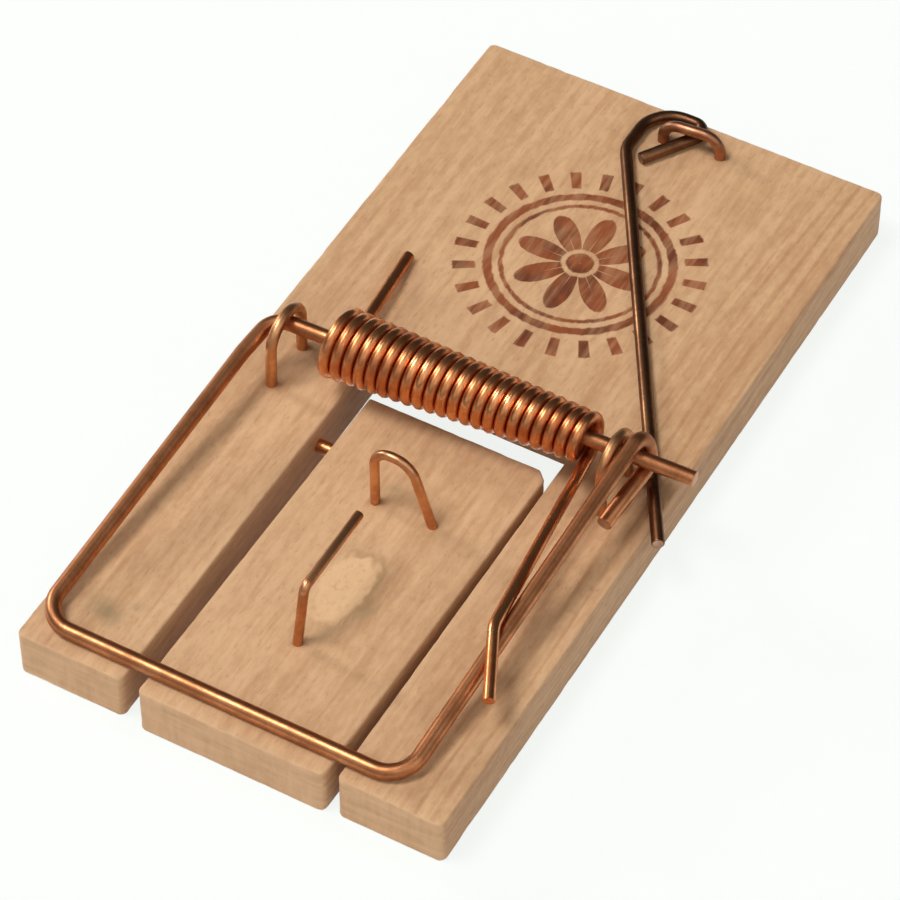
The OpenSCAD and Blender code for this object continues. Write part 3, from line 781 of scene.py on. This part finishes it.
def bent_wire(name, points, bends, thickness, coat):
    """A round wire through points, turned about each corner with its own inside radius.

    points are in millimetres. The wire is an end face drawn out along each straight stretch
    and spun about the centre of each bend."""
    path = [Vector(p) * mm for p in points]
    ahead = (path[1] - path[0]).normalized()
    bpy.ops.object.select_all(action="DESELECT")
    bpy.ops.mesh.primitive_circle_add(vertices=WIRE_SIDES, radius=thickness / 2 * mm,
        fill_type="NGON", location=path[0], rotation=ahead.to_track_quat("Z", "Y").to_euler())
    piece = bpy.context.object
    piece.name = name
    bpy.ops.object.transform_apply(location=True, rotation=True, scale=True)
    bpy.ops.object.mode_set(mode="EDIT")
    bpy.ops.mesh.select_all(action="SELECT")
    reached = path[0]
    for index, bend in enumerate(bends):
        corner = path[index + 1]
        to_last = (path[index] - corner).normalized()
        to_next = (path[index + 2] - corner).normalized()
        half = to_last.angle(to_next) / 2
        cut = bend * mm / math.tan(half)
        start = corner + to_last * cut
        centre = corner + (to_last + to_next).normalized() * bend * mm / math.sin(half)
        turn = math.pi - 2 * half
        bpy.ops.mesh.extrude_region_move(TRANSFORM_OT_translate={"value": start - reached})
        bpy.ops.mesh.spin(steps=max(3, round(math.degrees(turn) / BEND_STEP_DEGREES)), angle=turn,
            center=centre, axis=(start - centre).cross(to_last).normalized())
        reached = corner + to_next * cut
    bpy.ops.mesh.extrude_region_move(TRANSFORM_OT_translate={"value": path[-1] - reached})
    pick(piece, "faces", lambda face: len(face.verts) > 4)
    bpy.ops.mesh.select_mode(type="EDGE")
    bpy.ops.mesh.bevel(offset=WIRE_END_BEVEL * thickness * mm, segments=2, affect="EDGES")
    bpy.ops.mesh.select_all(action="SELECT")
    bpy.ops.mesh.remove_doubles(threshold=1e-7)
    bpy.ops.mesh.normals_make_consistent(inside=False)
    bpy.ops.object.mode_set(mode="OBJECT")
    bpy.ops.object.shade_smooth_by_angle(angle=math.radians(40))
    coat_wire(piece, coat)
    return piece


AXLE_Y = -3.4
AXLE_Z = 12.0
AXLE_SKEW = math.tan(math.radians(1.9))
STRIKER_WIRE = 1.7
ARM_LEFT = (-23.1, -46.7, 6.87)
ARM_RIGHT = (18.7, -46.7, 6.87)
HOOK_X = 20.7
HOOK_TURN = 1.75
HOOK_OVER = 2.1
HOOK_UNDER = 1.855
HOOK_ASIDE = 1.2
AXLE_END = 27.5
LEFT_TURN = -21.2
SHOULDER = (-21.7, AXLE_Y - 5.9, AXLE_Z - 0.65)
TAIL = 9.4
TAIL_UNDER = 2.5025
TAIL_ASIDE = 0.6
AXLE_BEND = 2.4
SHOULDER_BEND = 7
CORNER_BEND = 3.4


def on_axle(x, forward=0.0, rise=0.0):
    """A point beside the axle's middle line, in millimetres."""
    return Vector((x, AXLE_Y + x * AXLE_SKEW + forward, AXLE_Z + rise))


hook_start = on_axle(HOOK_X, HOOK_TURN, HOOK_OVER)
striker_points = [
    on_axle(AXLE_END), on_axle(LEFT_TURN + 0.1), SHOULDER, ARM_LEFT, ARM_RIGHT, hook_start,
    on_axle(HOOK_X + HOOK_ASIDE, HOOK_TURN, -HOOK_UNDER),
    on_axle(HOOK_X + TAIL_ASIDE, HOOK_TURN - TAIL, -TAIL_UNDER)]
striker_bends = [AXLE_BEND, SHOULDER_BEND, CORNER_BEND, CORNER_BEND, HOOK_TURN, HOOK_TURN]
striker = bent_wire("striker_wire_loop", striker_points, striker_bends, STRIKER_WIRE,
    copper_material("striker_copper",
        srgb(212, 142, 96), srgb(156, 100, 64), tarnish=0.3, gloss=0.31))
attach(striker, "striker")
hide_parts("striker_bar")


# ---- Torsion spring
# Twenty-two close turns of bright copper-plated spring wire round the axle, a little tapered.
# The back leg presses on the board; the front leg drives the right arm with a crossing finger.
SPRING_WIRE = 1.29
TURNS = 22
STEPS = 28
COIL_LEFT = -14.2
COIL_RIGHT = 16.4
COIL_OUT_LEFT = 4.05
COIL_OUT_RIGHT = 2.85
BACK_LEG = 18.3
BACK_LEG_OUT = 1.56
BACK_LEG_LIFT = 0.02
FRONT_LEG = 25.2
FINGER = 7.6
FINGER_PAST = 3.2
FINGER_INSIDE = 0.8
TOUCH = 0.06


def coil_point(step):
    """The middle line of the turns, from below the axle at the left."""
    share = step / (TURNS * STEPS)
    reach = COIL_OUT_LEFT + (COIL_OUT_RIGHT - COIL_OUT_LEFT) * share - SPRING_WIRE / 2
    x = COIL_LEFT + SPRING_WIRE / 2 + (COIL_RIGHT - COIL_LEFT - SPRING_WIRE) * share
    angle = 2 * math.pi * step / STEPS
    return on_axle(x, -reach * math.sin(angle), -reach * math.cos(angle))


def arm_point(y):
    """The right arm's middle line at a place along the board."""
    low = Vector(ARM_RIGHT)
    return low + (hook_start - low) * (y - low.y) / (hook_start.y - low.y)


def soften(points, rounds):
    """Cuts the corners of a path, so that it bends as wire does."""
    for _ in range(rounds):
        cut = [points[0]]
        for here, after in zip(points, points[1:]):
            cut += [here.lerp(after, 0.25), here.lerp(after, 0.75)]
        points = cut + [points[-1]]
    return points


coil = [coil_point(step) for step in range(TURNS * STEPS + 1)]
finger_rise = (STRIKER_WIRE + SPRING_WIRE) / 2 + TOUCH
back_tip = Vector((COIL_LEFT - BACK_LEG_OUT, AXLE_Y + BACK_LEG,
    board_top / mm + SPRING_WIRE / 2 + BACK_LEG_LIFT))
finger_root = arm_point(AXLE_Y - FRONT_LEG) + Vector((-FINGER_INSIDE, 0, finger_rise))
finger_tip = arm_point(AXLE_Y - FRONT_LEG - FINGER) + Vector((FINGER_PAST, 0, finger_rise))
back_leg = [back_tip, back_tip.lerp(coil[0], 0.9), coil[0]]
front_leg = [coil[-1], coil[-1].lerp(finger_root, 0.08), coil[-1].lerp(finger_root, 0.94),
    finger_root, finger_root.lerp(finger_tip, 0.2), finger_tip]
spring_path = soften(back_leg, 2)[:-1] + coil + soften(front_leg, 3)[1:]

bpy.ops.object.select_all(action="DESELECT")
bpy.ops.curve.primitive_nurbs_path_add()
spring = bpy.context.object
spring.name = "spring_wire_coil"
spring.data.splines.clear()
spline = spring.data.splines.new("POLY")
spline.points.add(len(spring_path) - 1)
for point, at in zip(spline.points, spring_path):
    point.co = (*(at * mm), 1)
spring.data.bevel_depth = SPRING_WIRE / 2 * mm
spring.data.bevel_resolution = 4
spring.data.use_fill_caps = True
spring.data.twist_mode = "MINIMUM"
bpy.ops.object.convert(target="MESH")
spring = bpy.context.object
bpy.ops.object.shade_smooth_by_angle(angle=math.radians(50))
coat_wire(spring, copper_material("spring_copper",
    srgb(238, 164, 110), srgb(186, 110, 66), tarnish=0.3, gloss=0.23))
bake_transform(spring)
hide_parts("torsion_spring")


# ---- Axle staples
# Two staples of thinner wire, driven over the axle into the rails; the axle turns under them.
# Their legs are driven by hand, so the front ones stand a little out of true.
STAPLE_WIRE = 1.25
STAPLE_WIDE = 6.1
STAPLE_TOP = 13.725
STAPLE_BEND = 3.0
STAPLE_FORWARD = 0.6
DRIVEN = 2.6
foot = board_top / mm - DRIVEN
staple_copper = copper_material("staple_copper",
    srgb(228, 170, 122), srgb(182, 128, 86), tarnish=0.3, gloss=0.3)
for node, x, lean in (("left_axle_staple", -19.3, -0.2), ("right_axle_staple", 18.8, 0.15)):
    middle_y = AXLE_Y + x * AXLE_SKEW - STAPLE_FORWARD
    front = middle_y - STAPLE_WIDE / 2
    back = middle_y + STAPLE_WIDE / 2
    staple = bent_wire(node + "_wire",
        [(x + lean, front, foot), (x, front, STAPLE_TOP), (x, back, STAPLE_TOP), (x, back, foot)],
        [STAPLE_BEND, STAPLE_BEND], STAPLE_WIRE, staple_copper)
    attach(staple, "board")
    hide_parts(node)


# ---- Latch staple
# The same wire bent square and driven near the back edge; it holds the rod's eye.
LATCH_STAPLE_LEFT = (-0.4, 44.6)
LATCH_STAPLE_RIGHT = (6.3, 45.2)
LATCH_STAPLE_TOP = 8.7
LATCH_STAPLE_BEND = 2
latch_staple = bent_wire("latch_staple_wire",
    [(*LATCH_STAPLE_LEFT, foot), (*LATCH_STAPLE_LEFT, LATCH_STAPLE_TOP),
     (*LATCH_STAPLE_RIGHT, LATCH_STAPLE_TOP), (*LATCH_STAPLE_RIGHT, foot)],
    [LATCH_STAPLE_BEND, LATCH_STAPLE_BEND], STAPLE_WIRE,
    copper_material("latch_staple_copper",
        srgb(204, 146, 110), srgb(148, 98, 70), tarnish=0.4, gloss=0.32))
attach(latch_staple, "board")
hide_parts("latch_staple")


# ---- Latch rod
# A long dark rod with an open eye round the latch staple; it holds the striker when set.
ROD_WIRE = 1.4
ROD_Z = 6.72
ROD_TIP = (26.3, -7.9)
EYE_LEFT = -3.1
EYE_RIGHT = 4.2
EYE_FRONT = 40.8
EYE_BACK = 48.0
EYE_END = (-0.9, 40.1)
EYE_BENDS = [4, 3.8, 1.3]
latch_rod = bent_wire("latch_rod_wire",
    [(*ROD_TIP, ROD_Z), (EYE_LEFT, EYE_FRONT, ROD_Z), (EYE_LEFT, EYE_BACK, ROD_Z),
     (EYE_RIGHT, EYE_BACK, ROD_Z), (*EYE_END, ROD_Z)], EYE_BENDS, ROD_WIRE,
    copper_material("rod_copper", srgb(150, 106, 74), srgb(102, 68, 46), tarnish=0.4, gloss=0.27))
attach(latch_rod, "latch")
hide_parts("latch_rod")


# ---- Catch hoop and bait spike
# Two bent bits of thin wire driven into the tongue: the hoop catches the latch rod's tip,
# and the spike carries the bait.
BAIT_WIRE = 1.05
HOOP_Y = -16.5
HOOP_LEFT = -1.8
HOOP_TOP = 14.1
HOOP_SHOULDER = 2.4
HOOP_FOOT = 5.7
HOOP_BENDS = [2, 2.6]
SPIKE_FOOT = (0.57, -36.63)
SPIKE_ELBOW = (1.1, -35.3, 13.8)
SPIKE_TIP = (1.3, -24.8, 14.4)
SPIKE_BEND = 0.9
thin_copper = copper_material("thin_copper",
    srgb(230, 170, 122), srgb(186, 124, 84), tarnish=0.3, gloss=0.28)
catch_hoop = bent_wire("catch_hoop_wire",
    [(HOOP_LEFT, HOOP_Y, foot), (HOOP_LEFT, HOOP_Y, HOOP_TOP),
     (HOOP_SHOULDER, HOOP_Y, HOOP_TOP), (HOOP_FOOT, HOOP_Y, foot)],
    HOOP_BENDS, BAIT_WIRE, thin_copper)
bait_spike = bent_wire("bait_spike_wire",
    [(*SPIKE_FOOT, foot), SPIKE_ELBOW, SPIKE_TIP], [SPIKE_BEND], BAIT_WIRE, thin_copper)
for piece, node in ((catch_hoop, "catch_hoop"), (bait_spike, "bait_spike")):
    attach(piece, "pedal")
    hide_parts(node)
